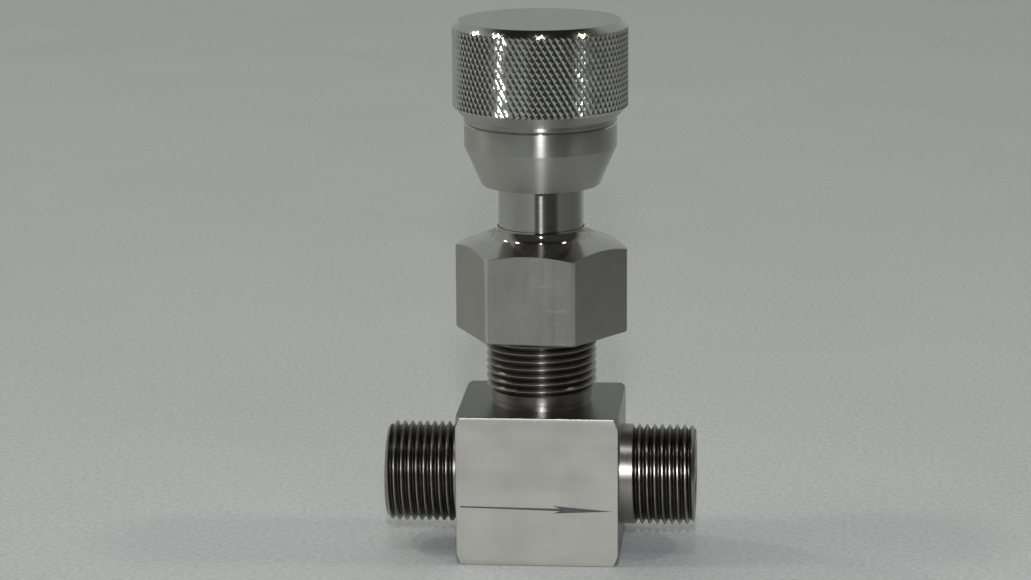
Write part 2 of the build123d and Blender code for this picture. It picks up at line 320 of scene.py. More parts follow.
camera = bpy.data.objects.new("camera", bpy.data.cameras.new("camera"))
camera.data.lens = 115.06  # millimetres, as is the sensor's width
camera.data.sensor_width = 36
camera.data.sensor_fit = "HORIZONTAL"
camera.data.clip_start = 0.01
scene.collection.objects.link(camera)
heading = camera_azimuth + camera_pan
forward = Vector((-sin(heading) * cos(camera_tilt), cos(heading) * cos(camera_tilt), -sin(camera_tilt)))
level = Vector((cos(heading), sin(heading), 0))
upright = level.cross(forward)
right = cos(camera_roll) * level + sin(camera_roll) * upright
up = cos(camera_roll) * upright - sin(camera_roll) * level
ahead, aside = cos(camera_azimuth) * camera_distance, sin(camera_azimuth) * camera_distance
stand = Vector((aside, -ahead, camera_height)) * MM
camera.matrix_world = Matrix.Translation(stand) @ Matrix((right, up, -forward)).transposed().to_4x4()
scene.camera = camera
print("camera at", [round(v, 4) for v in stand])

# %% [markdown]
# ## How a screw thread is made in Geometry Nodes
# A thread is one groove that climbs round a rod. A flat grid is laid out with its columns round the rod
# and eight lines to each pitch. Each line is pushed up by one pitch over a turn, so its end meets the
# line eight further on, and the seam closes when the points are merged. The distance from the nearest
# crest gives the depth. At the plain shank the groove runs out within half a turn, as it does where a
# threading tool is drawn back, and at both ends the thread is bevelled.

# %% The thread's node tree
LINES_PER_PITCH = 8
THREAD_DEPTH = 0.6495  # in pitches, for a 60 degree thread with narrow flats
RUN_OUT = 0.44  # in pitches of climb
CREST_HALF, ROOT_HALF = 1 / 16, 1 / 16  # half the width of a crest and of a root, in pitches


def tree_inputs(tree, floats=(), integers=(), materials=()):
    """Named inputs of a Geometry Nodes tree, and its group input node."""
    for names, kind in ((floats, "Float"), (integers, "Int"), (materials, "Material")):
        for name in names:
            tree.interface.new_socket(name=name, in_out="INPUT", socket_type="NodeSocket" + kind)
    tree.interface.new_socket(name="Geometry", in_out="OUTPUT", socket_type="NodeSocketGeometry")
    return {out.name: Sum(tree, out) for out in node(tree, "NodeGroupInput").outputs}


def wrap_round(tree, mesh, turn, radius, height):
    """Moves a flat grid's points to radius and height, at turn (1 is once round), and welds the seam."""
    angle = turn * (2 * pi)
    across, along = radius * angle.of("COSINE"), radius * angle.of("SINE")
    place = node(tree, "ShaderNodeCombineXYZ", {"X": across, "Y": along, "Z": height})
    move = node(tree, "GeometryNodeSetPosition", {"Geometry": mesh, "Position": place.outputs[0]})
    join = node(tree, "GeometryNodeMergeByDistance", {"Geometry": move.outputs[0], "Distance": WELD})
    return join.outputs[0]


def keep_number(tree, mesh, name, value):
    """Stores a number at each point, for the finish to read."""
    store = node(tree, "GeometryNodeStoreNamedAttribute", {
        "Geometry": mesh, "Name": name, "Value": value
    }, data_type="FLOAT", domain="POINT")
    return store.outputs[0]


def end_tree(tree, mesh, material):
    """Realizes instances, sets the material and closes the tree."""
    real = node(tree, "GeometryNodeRealizeInstances", {0: mesh})
    paint = node(tree, "GeometryNodeSetMaterial", {"Geometry": real.outputs[0], "Material": material})
    node(tree, "NodeGroupOutput", {0: paint.outputs[0]})


def grid_place(tree):
    """The grid's own X and Y, before it is wrapped."""
    return split_up(tree, node(tree, "GeometryNodeInputPosition").outputs[0])[:2]


def thread_tree():
    """A screw thread from Start to End round the Z axis, as an open shell."""
    tree = bpy.data.node_groups.new("screw thread", "GeometryNodeTree")
    given = tree_inputs(
        tree,
        ("Crest Radius", "Pitch", "First Crest", "Start", "Start Radius", "Shank End", "End", "End Radius"),
        ("Steps", "Lines", "Turns Below"), ("Material",),
    )
    pitch, first, start, end = (given[name] for name in ("Pitch", "First Crest", "Start", "End"))
    grid = node(tree, "GeometryNodeMeshGrid", {
        "Size X": 1.0, "Size Y": 1.0, "Vertices X": given["Steps"] + 1.0, "Vertices Y": given["Lines"]
    })
    across, along = grid_place(tree)
    turn = across + 0.5
    line = (along + 0.5) * (given["Lines"] - 1.0)
    climb = (line + 0.5) / LINES_PER_PITCH - given["Turns Below"] + turn
    height = climb.of("MULTIPLY_ADD", pitch, first).of("MAXIMUM", start).of("MINIMUM", end)
    place = (height - first) / pitch - turn
    from_crest = (place - place.of("ROUND")).of("ABSOLUTE")
    depth = ramp(tree, from_crest, CREST_HALF, 1 / 2 - ROOT_HALF)
    groove = place.of("FLOOR") + 0.5 + turn
    faded = (groove.of("MULTIPLY_ADD", pitch, first) - given["Shank End"]) / pitch
    depth = depth.of("ADD", ramp(tree, faded, 0.0, RUN_OUT, -1.0, 0.0), clamp=True)
    radius = given["Crest Radius"] - depth * pitch * THREAD_DEPTH
    start_bevel = given["Start Radius"] + (height - start)
    end_bevel = given["End Radius"] + (end - height)
    radius = radius.of("MINIMUM", start_bevel).of("MINIMUM", end_bevel)
    # The depth is kept for the finish, which paints shade into the roots.
    shell = keep_number(tree, grid.outputs["Mesh"], "sunk", depth)
    shell = wrap_round(tree, shell, turn, radius, height)
    end_tree(tree, shell, given["Material"])
    return tree


thread = thread_tree()
print("thread tree with", len(thread.nodes), "nodes")

# %% [markdown]
# ## Running a tree
# A tree runs as a modifier on an empty carrier. Its inputs are set by their identifiers before it is
# first evaluated, and the evaluated result is copied into a plain mesh.

# %% Tree runner


def run_tree(tree, values):
    """The plain mesh that a tree makes with these inputs."""
    carrier = bpy.data.objects.new("carrier", bpy.data.meshes.new("carrier"))
    scene.collection.objects.link(carrier)
    step = carrier.modifiers.new("make", "NODES")
    step.node_group = tree
    for item in tree.interface.items_tree:
        if item.in_out == "INPUT":
            step[item.identifier] = values[item.name]
    ready = carrier.evaluated_get(bpy.context.evaluated_depsgraph_get())
    mesh = bpy.data.meshes.new_from_object(ready)
    carrier.modifiers.remove(step)
    bpy.data.objects.remove(carrier)
    return mesh


def threaded(name, crest, pitch, first, start, end, rest, material, start_radius=None, shank_end=None):
    """A threaded piece: the shell from the tree, and the rest of its outline from the thread's end
    back to its start."""
    end_radius = rest[0][0]
    below = ceil((first - start) / pitch + 1 + 1 / LINES_PER_PITCH)
    pitches = below + ceil((end - first) / pitch) + 1
    mesh = run_tree(
        thread,
        {
            "Crest Radius": crest * MM,
            "Pitch": pitch * MM,
            "First Crest": first * MM,
            "Start": start * MM,
            "Start Radius": (start_radius or crest) * MM,
            "Shank End": (shank_end or start - pitch) * MM,
            "End": end * MM,
            "End Radius": end_radius * MM,
            "Steps": STEPS,
            "Lines": pitches * LINES_PER_PITCH,
            "Turns Below": below,
            "Material": material,
        },
    )
    shape = bmesh.new()
    shape.from_mesh(mesh)
    ring_faces(shape, evenly(STEPS), rest, closed=False)
    piece = finish_mesh(shape, name)
    piece.data.materials.append(material)
    return piece


print("lines in a pitch", LINES_PER_PITCH)

# %% [markdown]
# ## Finishes: bare titanium
# Titanium is a grey metal, a little warm. What makes its look is the tool's trace. A lathe leaves fine
# rings, so the reflection of a lamp is drawn out along the part's axis, and a grinder leaves
# straight hair lines. One function makes all of them: it takes the noise that the tool leaves, and
# lets it change the colour a little, the roughness more, and the surface itself by a few microns.

# %% Metal finishes
SPREAD_TURN = 0.25  # of a full turn: a highlight is drawn out across the rings
RING_FINENESS = 2600.0  # noise cells in a metre of outline
LINE_FINENESS, LINE_LENGTH = 2400.0, 40.0  # noise cells in a metre across hair lines, and along them


def own_place(tree):
    """Object coordinates, split."""
    return split_up(tree, node(tree, "ShaderNodeTexCoord").outputs["Object"])


def noise(tree, where, scale, detail=3.0, roughness=0.55, dimensions="3D"):
    """Fractal noise, as a number. where is a vector, or a number in one dimension."""
    made = node(tree, "ShaderNodeTexNoise", noise_dimensions=dimensions)
    feed(tree, made.inputs["W" if dimensions == "1D" else "Vector"], where)
    feed(tree, made.inputs["Scale"], scale)
    feed(tree, made.inputs["Detail"], detail)
    feed(tree, made.inputs["Roughness"], roughness)
    return Sum(tree, made.outputs[0])


def stretched(tree, scale):
    """Object coordinates stretched, so that noise becomes lines."""
    move = node(tree, "ShaderNodeMapping", {
        "Vector": node(tree, "ShaderNodeTexCoord").outputs["Object"], "Scale": scale
    }, vector_type="POINT")
    return move.outputs[0]


def lathe_rings(tree, axis):
    """Fine rings round the Z axis, or round the ports' axis, from 1-D noise along the outline."""
    x, y, z = own_place(tree)
    along, first, second = (z, x, y) if axis == "Z" else (x, y, z - port_height * MM)
    path = (first * first + second * second).of("SQRT").of("MULTIPLY_ADD", 0.7, along)
    return noise(tree, path, RING_FINENESS, 4.0, 0.7, "1D")


def hair_lines(tree, direction):
    """Straight fine lines along X, Y or Z."""
    scale = [LINE_LENGTH if axis == direction else LINE_FINENESS for axis in "XYZ"]
    return noise(tree, stretched(tree, scale), 1.0, 3.0, 0.65)


def metal(name, pale, dark, rough, trace, bump=0.2, spread=0.0, groove_shade=None, patch=120.0):
    """A bare metal. pale and dark are its two tones, rough its range of roughness, trace the tool's
    noise function, and spread how far a highlight is drawn out across the trace. The optional tuple
    after spread names an attribute of groove depth, the colour of the painted shade it lays into the
    hollows, and the depth where that shade begins."""
    made, tree, shader = new_finish(name)
    shader.inputs["Metallic"].default_value = 1.0
    marks = trace(tree)
    clouds = noise(tree, node(tree, "ShaderNodeTexCoord").outputs["Object"], patch, 3.0, 0.6)
    tone = marks.of("MULTIPLY_ADD", 0.45, clouds * 0.55)
    colour = blend(tree, ramp(tree, tone, 0.3, 0.7), dark, pale)
    wear = marks.of("MULTIPLY_ADD", 0.6, clouds * 0.4)
    # Painted shade: the deep part of each groove is darkened towards a shade colour, by the stored depth.
    if groove_shade:
        attribute, shade_colour, begins = groove_shade
        read = node(tree, "ShaderNodeAttribute", attribute_name=attribute)
        low = ramp(tree, read.outputs["Fac"], begins, 1.0)
        painted_shade = low.of("MULTIPLY", ramp(tree, clouds, 0.3, 0.7, 0.8, 1.0), clamp=True)
        colour = blend(tree, painted_shade, colour, shade_colour)
    feed(tree, shader.inputs["Base Color"], colour)
    feed(tree, shader.inputs["Roughness"], ramp(tree, wear, 0.3, 0.7, *rough))
    bumpy(tree, shader, bump, marks)
    if spread:
        shader.inputs["Anisotropic"].default_value = spread
        shader.inputs["Anisotropic Rotation"].default_value = SPREAD_TURN
        tangent = node(tree, "ShaderNodeTangent", direction_type="RADIAL", axis="Z")
        feed(tree, shader.inputs["Tangent"], tangent.outputs[0])
    return made


def z_rings(tree):
    return lathe_rings(tree, "Z")


def x_rings(tree):
    return lathe_rings(tree, "X")


def ground_lines(tree):
    """Hair lines along X, and wider faint bands where the wheel passed."""
    bands = noise(tree, stretched(tree, (2.0, 260.0, 260.0)), 1.0, 2.0, 0.5)
    return hair_lines(tree, "X").of("MULTIPLY_ADD", 0.55, bands * 0.45)


def y_lines(tree):
    return hair_lines(tree, "Y")


def milled_lines(tree):
    """Fine upright lines, and a few long scratches across them from handling."""
    scratches = noise(tree, stretched(tree, (300.0, 300.0, 1100.0)), 1.0, 1.0, 0.4)
    return ramp(tree, scratches, 0.66, 0.70).of("MULTIPLY_ADD", 0.4, hair_lines(tree, "Z"))


TITANIUM = (0.50, 0.49, 0.455)
TITANIUM_DARK = (0.40, 0.39, 0.36)
# Worn tones, darker than bare titanium: partly wear, partly painted shade on the block's port sides and the
# threads.
WORN_AND_SHADED = (0.41, 0.395, 0.36)
WORN_AND_SHADED_DARK = (0.30, 0.285, 0.255)
# Painted shade: a near-black for the roots of the threads.
ROOT_SHADE = (0.035, 0.030, 0.024)

CONE = (0.55, 0.54, 0.51)
# RIM is the knurl's pale tone; the second colour is painted shade for the floors of its deep grooves.
RIM, KNURL_GROOVE_SHADE = (0.64, 0.635, 0.60), (0.20, 0.20, 0.19)

finish = {
    # Painted light on the block: the ground sides are paler than bare titanium, as if lit, and the top is
    # much darker, as painted shade.
    "ground": metal(
        "ground_titanium", (0.69, 0.675, 0.62), (0.55, 0.54, 0.49), (0.38, 0.54), ground_lines, 0.35
    ),
    "block_top": metal("ground_top_shaded", (0.24, 0.235, 0.22), (0.17, 0.165, 0.155), (0.28, 0.40), y_lines),
    "faced": metal("faced_titanium", WORN_AND_SHADED, WORN_AND_SHADED_DARK, (0.28, 0.40), x_rings, 0.3),
    # Painted shade: both threads darken towards near black in their roots.
    "port_thread": metal(
        "port_thread", WORN_AND_SHADED, WORN_AND_SHADED_DARK, (0.26, 0.36), x_rings, 0.1, groove_shade=("sunk", ROOT_SHADE, 0.1)
    ),
    "neck_thread": metal(
        "neck_thread", WORN_AND_SHADED, WORN_AND_SHADED_DARK, (0.28, 0.38), z_rings, 0.1, 0.9, ("sunk", ROOT_SHADE, 0.1)
    ),
    "nut_flats": metal("milled_flats", (0.41, 0.40, 0.37), (0.34, 0.33, 0.30), (0.34, 0.46), milled_lines),
    "nut_edge": metal("nut_edge", (0.66, 0.65, 0.61), (0.52, 0.51, 0.47), (0.36, 0.48), z_rings, 0.1),
    "nut_cone": metal("turned_cone", CONE, (0.47, 0.46, 0.43), (0.12, 0.20), z_rings, 0.05),
    "cove": metal("polished_cove", (0.50, 0.47, 0.42), (0.42, 0.39, 0.34), (0.05, 0.09), z_rings, 0.02),
    "barrel": metal("fine_turned", TITANIUM, TITANIUM_DARK, (0.17, 0.24), z_rings, 0.12, 0.95),
    "skirt": metal("turned_skirt", TITANIUM, TITANIUM_DARK, (0.30, 0.40), z_rings, 0.25, 0.95),
    "cap_top": metal("faced_cap", TITANIUM, TITANIUM_DARK, (0.24, 0.32), z_rings),
    "bevel": metal("bright_bevel", CONE, (0.50, 0.49, 0.46), (0.08, 0.13), z_rings, 0.05),
    # Painted shade: the floors of the deeper knurl grooves are darkened.
    "knurl": metal("knurl", RIM, TITANIUM, (0.50, 0.62), z_rings, 0.1, 0.0, ("sunk", KNURL_GROOVE_SHADE, 0.6)),
    "inner": metal("inner_turned", TITANIUM, TITANIUM_DARK, (0.22, 0.36), z_rings),
    "hard": metal("hardened_steel", (0.52, 0.52, 0.53), (0.44, 0.44, 0.45), (0.12, 0.22), z_rings, 0.1),
    "bronze": metal("turned_bronze", (0.66, 0.44, 0.20), (0.52, 0.32, 0.13), (0.22, 0.36), z_rings),
}
print("metal finishes", len(finish))

# %% [markdown]
# ## Finishes: PTFE and the etched mark
# The packing rings are white PTFE, a waxy plastic. The flow arrow on the block is etched: a thin dark
# film, duller than the metal round it, and a little uneven.

# %% Other finishes


def plain(name, pale, dark, rough, scale, grain):
    """A finish that isn't bare metal: two tones, a range of roughness and a fine grain."""
    made, tree, shader = new_finish(name)
    where = node(tree, "ShaderNodeTexCoord").outputs["Object"]
    clouds = noise(tree, where, scale)
    feed(tree, shader.inputs["Base Color"], blend(tree, ramp(tree, clouds, 0.35, 0.65), dark, pale))
    feed(tree, shader.inputs["Roughness"], ramp(tree, clouds, 0.3, 0.7, *rough))
    bumpy(tree, shader, 0.15, noise(tree, where, grain))
    return made


finish["ptfe"] = plain("ptfe", (0.88, 0.88, 0.86), (0.80, 0.80, 0.77), (0.42, 0.55), 300.0, 4000.0)
finish["etched"] = plain(
    "etched_mark", (0.115, 0.115, 0.11), (0.07, 0.07, 0.067), (0.50, 0.65), 900.0, 6000.0
)
print("finishes", len(finish))

# %% [markdown]
# ## The block
# On the real valve the block is a piece of square bar. Its corners are turned off where it was held in
# the lathe to cut the ports, which leaves a shallow cone on each port side. So the mesh is made the
# same way: a cube with its edges broken, kept only where a turned blank also is, and then bored.

# %% Block
block_half_length = 16.0
block_height = 30.0
edge_break = 0.3
turned_corner = 19.5  # the corners are turned off outside this radius
corner_slope = tan(radians(30))


def bar(name, low, high, edge):
    """A square bar with broken edges."""
    shape = bmesh.new()
    bmesh.ops.create_cube(shape, size=1)
    low, high = Vector(low), Vector(high)
    for point in shape.verts:
        point.co = Vector(low[i] + (point.co[i] + 0.5) * (high[i] - low[i]) for i in range(3)) * MM
    bmesh.ops.bevel(shape, geom=shape.edges, offset=edge * MM, segments=2, profile=0.6, affect="EDGES")
    return finish_mesh(shape, name)


block = bar(
    "block",
    (-block_half_length, -block_half_width, 0),
    (block_half_length, block_half_width, block_height),
    edge_break,
)
widest = 23.0
inset = (widest - turned_corner) * corner_slope
blank = turned(
    "blank",
    [
        (0, -block_half_length), (turned_corner, -block_half_length),
        (widest, inset - block_half_length), (widest, block_half_length - inset),
        (turned_corner, block_half_length), (0, block_half_length),
    ],
)
cut(block, lay_down(blank, 1), "INTERSECT")
print("block faces", len(block.data.polygons), "open edges", open_edges(block))

# %% [markdown]
# ## The passages
# The outlet bore meets the chamber above the seat. The inlet is a short blind bore, and an oblique hole
# runs from its floor down to the space below the seat. Each is a rod that is cut away.

# %% Passages
bore_radius = 4.0
socket_floor = port_end - 7.0  # the tube's stop
chamber_radius = 5.0
chamber_floor = 10.8
box_radius = 7.0
box_floor = 28.0
seat_radius = 4.0
seat_bottom = 8.6
orifice_radius = 2.25
oblique_radius = 1.9
oblique_wall = 0.3
tool_gap = 0.03  # the block's bores are this much wider than the ports' own, so that the walls don't coincide


def rod(name, radius, bottom, top):
    return turned(name, [(0, bottom), (radius, bottom), (radius, top), (0, top)], 96)


def oblique_rod(name):
    """The slanting drill, from the inlet's tube stop to below the seat."""
    run = socket_floor - seat_radius
    drop = port_height - seat_bottom
    slant = sqrt(run * run + drop * drop)
    slope = atan2(drop, run) + (oblique_radius + oblique_wall) / slant
    drill = rod(name, oblique_radius, 0, socket_floor / cos(slope) + oblique_radius / 2)
    drill.data.transform(Matrix.Rotation(pi / 2 + slope, 4, "Y"))
    drill.data.transform(Matrix.Translation(Vector((-socket_floor, 0, port_height)) * MM))
    return drill, port_height - socket_floor * tan(slope)


drill, rise_foot = oblique_rod("drill")
cut(block, rod("box", box_radius + tool_gap, box_floor, block_height + 1))
cut(block, rod("chamber", chamber_radius, chamber_floor, box_floor + 1))
cut(block, rod("seat_pocket", seat_radius, seat_bottom, chamber_floor + 1))
cut(block, rod("rise", orifice_radius, rise_foot, seat_bottom + 1))
cut(block, lay_down(rod("bore", bore_radius + tool_gap, chamber_radius / 2, block_half_length + 1), 1))
cut(block, drill)
regroup(block)
print("bored block faces", len(block.data.polygons), "open edges", open_edges(block))

# %% [markdown]
# ## Which side was ground and which was turned
# The front, back and under sides are ground along the flow, the top is left from sawing and facing, and
# the port sides are turned. So the block has three finishes, chosen by the way each face looks. Their
# tones also carry painted light: the ground sides are paler than bare titanium, as if lit, and the top
# and the port sides are darker, as painted shade.

# %% Block finishes
# The top gets the painted-shade tone, and the ground sides the paler, painted-light one.
dress(block, "ground", "block_top", "faced")
for face in block.data.polygons:
    centre = face.center
    if abs(face.normal.x) > 0.3:
        face.material_index = 2
    elif face.normal.z > 0.8 and centre.z > (block_height - 0.1) * MM:
        face.material_index = 1
print("faces by finish", by_finish(block))

# %% [markdown]
# ## The ports
# Both ports are M20 by 1.5 outside, with a plain shank next to the block, and inside they hold a tube: a
# cone for the cutting ring, a straight socket and the flow bore. Each starts a little inside the
# block, so that no faces coincide.

# %% Ports
port_radius = 10.0
port_pitch = 1.5
port_bevel = 0.98
port_root = 1.0  # millimetres of the port that stand inside the block
socket_radius = 6.0
mouth_radius = 7.1
mouth_depth = (mouth_radius - socket_radius) / tan(radians(12))
lip = 0.12  # small bevels on the mouth and the end face


def port(name, way, first, shank_end, bore_floor):
    """One port, threaded along Z and then laid down. bore_floor is None where the bore goes through."""
    back = block_half_length - port_root
    inside = [
        (port_radius - port_bevel, port_end), (mouth_radius + lip, port_end),
        (mouth_radius, port_end - lip), (socket_radius, port_end - mouth_depth),
        (socket_radius, socket_floor), (bore_radius, socket_floor),
        (bore_radius, bore_floor or back),
    ]
    inside += [(0, bore_floor), (0, back)] if bore_floor else []
    inside += [(port_radius, back)]
    metal_of_port = finish["port_thread"]
    piece = threaded(
        name, port_radius, port_pitch, first, back, port_end, inside, metal_of_port, shank_end=shank_end
    )
    return lay_down(piece, way)


blind_depth = 5.0  # how far the inlet's own bore goes beyond the tube's stop
outlet_port = port("outlet_port", 1, 18.80, 18.12, None)
inlet_port = port("inlet_port", -1, 18.70, 16.8, socket_floor - blind_depth)
cut(inlet_port, oblique_rod("drill")[0])
for piece in (outlet_port, inlet_port):
    print(piece.name, "faces", len(piece.data.polygons), "open edges", open_edges(piece))

# %% [markdown]
# ## The neck
# The neck is M22 by 1.5. It begins with a turned relief, so that the nut could be screwed right down, and
# it holds the packing in its bore.

# %% Neck
neck_radius = 10.9
neck_pitch = 1.5
relief_radius = 10.0
relief_top = 32.8
undercut_radius = 9.8
undercut_top = 31.0
first_neck_crest = 33.06
neck_root = 1.0
neck_bevel = 1.0
neck_rest = [
    (neck_radius - neck_bevel, neck_top), (box_radius, neck_top),
    (box_radius, block_height - neck_root), (undercut_radius, block_height - neck_root),
    (undercut_radius, undercut_top), (relief_radius, undercut_top + 0.15),
    (relief_radius, relief_top - 0.05), (relief_radius + 0.02, relief_top),
]
neck_metal = finish["neck_thread"]
neck = threaded(
    "neck", neck_radius, neck_pitch, first_neck_crest, relief_top, neck_top, neck_rest, neck_metal,
    start_radius=neck_rest[-1][0]
)
print("neck faces", len(neck.data.polygons), "open edges", open_edges(neck))

# %% [markdown]
# ## The flow arrow
# A long thin arrow on the front face shows which way the fluid runs. It is drawn by its outline, and
# stands a hundredth of a millimetre proud of the metal, so it reads as a dark film.

# %% Flow arrow
arrow_tail, arrow_tip = (-15.1, 11.9), (15.1, 11.4)
arrow_notch, arrow_barb = 4.6, 3.1
arrow_half = {"tail": 0.14, "notch": 0.24, "barb": 0.77}
film = 0.012  # how far the arrow stands out
film_back = 0.1  # how deep it begins


def arrow_line(x):
    """Height of the arrow's middle line at x."""
    share = (x - arrow_tail[0]) / (arrow_tip[0] - arrow_tail[0])
    return arrow_tail[1] + share * (arrow_tip[1] - arrow_tail[1])


def arrow_outline():
    """The arrow's corners, upper side first."""
    side = [
        (arrow_tail[0], arrow_half["tail"]),
        (arrow_notch, arrow_half["notch"]),
        (arrow_barb, arrow_half["barb"]),
    ]
    upper = [(x, arrow_line(x) + h) for x, h in side]
    lower = [(x, arrow_line(x) - h) for x, h in reversed(side)]
    return upper + [arrow_tip] + lower


def arrow_mesh():
    """The arrow as a thin plate, from a little inside the front face to just outside it."""
    shape = bmesh.new()
    rim = [shape.verts.new(Vector((x, film_back - block_half_width, z)) * MM) for x, z in arrow_outline()]
    plate = bmesh.ops.extrude_face_region(shape, geom=[shape.faces.new(rim)])["geom"]
    points = [part for part in plate if isinstance(part, bmesh.types.BMVert)]
    bmesh.ops.translate(shape, verts=points, vec=(0, -(film_back + film) * MM, 0))
    return finish_mesh(shape, "flow_arrow")


flow_arrow = arrow_mesh()
dress(flow_arrow, "etched")
print("arrow open edges", open_edges(flow_arrow))

# %% [markdown]
# ## The union nut
# A hexagon whose six upright edges are turned to a radius, under a low turned cone and a bright cove
# that rises to the barrel. The columns of its rings stand at chosen angles: most share out a flat,
# and a few the narrow turned land at each corner. Where a column's cone meets its side, the height
# follows from the radius there, which gives the curved line between cone and flat that every
# chamfered nut has.

# %% Union nut
across_flats = 30.0
corner_radius = 17.1
nut_turn = radians(-4.5)
corner_top = nut_bottom + 16.76
cone_slope = tan(radians(22.5))
rim_radius = 10.6  # the cone ends here, and the cove begins
hole_radius = 8.55
collar_wall = 0.15
cove_radius = 2.9
cove_turn = radians(50)
flat_columns, land_columns = 24, 4
nut_break = 0.10  # the small bevel where cone and flats meet
foot_break = 0.25
mouth_bevel = 0.8
middle_ring = 13.0  # a ring halfway up the cone, which keeps its faces short
rim_break = 0.1
nut_shoulder, relief_low, relief_wide = 62.0, 57.0, 11.3
cove_rings = 12


def nut_columns():
    """Angles of the columns, and the nut's radius at each."""
    half_flat = sqrt(corner_radius**2 - (across_flats / 2) ** 2) / (across_flats / 2)
    turn = atan2(half_flat, 1.0)
    angles, radii = [], []
    for side in range(6):
        middle = nut_turn + pi / 6 + side * pi / 3
        for i in range(flat_columns):
            angle = turn * (2 * i / flat_columns - 1)
            angles.append(middle + angle)
            radii.append(across_flats / 2 / cos(angle))
        for i in range(land_columns):
            angles.append(middle + turn + (pi / 3 - 2 * turn) * i / land_columns)
            radii.append(corner_radius)
    return angles, radii


def cone_height(radius):
    """How high the cone stands at a radius."""
    return corner_top + (corner_radius - radius) * cone_slope


def cove_point(share):
    """A point of the cove: share 0 is its upright top, and 1 its foot."""
    turn = cove_turn * share
    return (hole_radius + collar_wall + cove_radius * (1 - cos(turn)), nut_top - cove_radius * sin(turn))


def union_nut_mesh():
    """The nut: hexagon, cone and cove outside, and shoulder, relief and thread's hole inside."""
    angles, radii = nut_columns()
    edge_height = [cone_height(r) for r in radii]
    thread_room = neck_radius + 0.1
    rows = [
        [(thread_room + mouth_bevel, nut_bottom)] * len(angles),
        [(r - foot_break, nut_bottom) for r in radii],
        [(r, nut_bottom + foot_break) for r in radii],
        [(r, z - nut_break) for r, z in zip(radii, edge_height)],
        [(r - nut_break, z + nut_break * cone_slope) for r, z in zip(radii, edge_height)],
        (middle_ring, cone_height(middle_ring)),
        (rim_radius + rim_break, cone_height(rim_radius + rim_break)),
        (rim_radius - rim_break, cone_height(rim_radius) - 0.06),
    ]
    rows += [cove_point(1 - i / cove_rings) for i in range(cove_rings + 1)]
    rows += [
        (hole_radius, nut_top), (hole_radius, nut_shoulder), (relief_wide, nut_shoulder),
        (relief_wide, relief_low), (thread_room, relief_low),
        (thread_room, nut_bottom + mouth_bevel),
    ]
    shape = bmesh.new()
    ring_faces(shape, angles, rows)
    return finish_mesh(shape, "union_nut_hexagon", radians(20))


nut = union_nut_mesh()
dress(nut, "nut_flats", "nut_cone", "cove", "nut_edge")
for face in nut.data.polygons:
    radius = face.center.xy.length / MM
    if abs(face.normal.z) < 0.1 and radius > corner_radius - 0.05:
        face.material_index = 3
    if face.center.z < corner_top * MM or radius < hole_radius:
        continue
    if radius < rim_radius:
        face.material_index = 2
    elif face.normal.z > 0.6:
        face.material_index = 1
print("nut faces", len(nut.data.polygons), "open edges", open_edges(nut))

# %% [markdown]
# ## The barrel and the skirt
# The bonnet's barrel is plain and finely turned, and the knob's skirt slides down over it. Both
# outlines follow the solid model, with small bevels where the tool broke the edges.

# %% Barrel and skirt
barrel_radius = 8.4
barrel_bore = 7.0
barrel_bevel = 0.4
flange_radius = 9.5
flange_top = barrel_foot + 3.0
end_hole = 5.3
end_wall = 2.0
barrel = turned(
    "bonnet_barrel",
    [
        (barrel_bore, barrel_foot), (flange_radius, barrel_foot), (flange_radius, flange_top),
        (barrel_radius, flange_top), (barrel_radius, barrel_top - barrel_bevel),
        (barrel_radius - barrel_bevel, barrel_top), (end_hole, barrel_top),
        (end_hole, barrel_top - end_wall), (barrel_bore, barrel_top - end_wall),
    ],
)
dress(barrel, "barrel")

skirt_bore = 8.75
skirt_foot_radius = 11.7
skirt_break = 0.15
cone_top = skirt_bottom + 7.75
parting_bevel = 0.4
spigot_radius = 13.0  # of the step that the cap sits on
spigot_bore = 10.5
stud_hole = 4.3
web_bottom = parting - 0.4
web_top = web_bottom + 4.0
knob_steps = 240
skirt = turned(
    "knob_skirt_turned",
    [
        (skirt_bore + skirt_break, skirt_bottom), (skirt_foot_radius - 0.12, skirt_bottom),
        (skirt_foot_radius, skirt_bottom + skirt_break), (skirt_radius - 0.03, cone_top - 0.12),
        (skirt_radius, cone_top), (skirt_radius, parting - parting_bevel),
        (skirt_radius - parting_bevel, parting), (spigot_radius, parting),
        (spigot_radius, skirt_high.z), (spigot_bore, skirt_high.z), (spigot_bore, web_top),
        (stud_hole, web_top), (stud_hole, web_bottom), (skirt_bore, web_bottom),
        (skirt_bore, skirt_bottom + skirt_break),
    ],
    knob_steps,
)
dress(skirt, "skirt", "bevel")
for face in skirt.data.polygons:
    if face.normal.z > 0.5 and parting - parting_bevel < face.center.z / MM < parting:
        face.material_index = 1
for piece in (barrel, skirt):
    print(piece.name, "faces", len(piece.data.polygons), "open edges", open_edges(piece))

# %% [markdown]
# ## How the knurl is made in Geometry Nodes
# Two hardened wheels press crossing grooves into the rim. Both groove families lie along the diagonals
# of a grid when its cells have the knurl's slope, so the grid is laid out in cells, eight to a groove, and
# each cell gets a point in its middle: it is extruded by nothing, and the copy shrinks to a point.
# Then every groove's floor and both its edges fall on mesh edges and stay crisp. The two wheels never
# press alike, so one family is deeper and wider. The bevels above and below cut the grooves off.

# %% The knurl's node tree
CELLS_PER_GROOVE = 8
GROOVE_CELLS, CROSS_CELLS = 3, 2  # half the width of each family's grooves


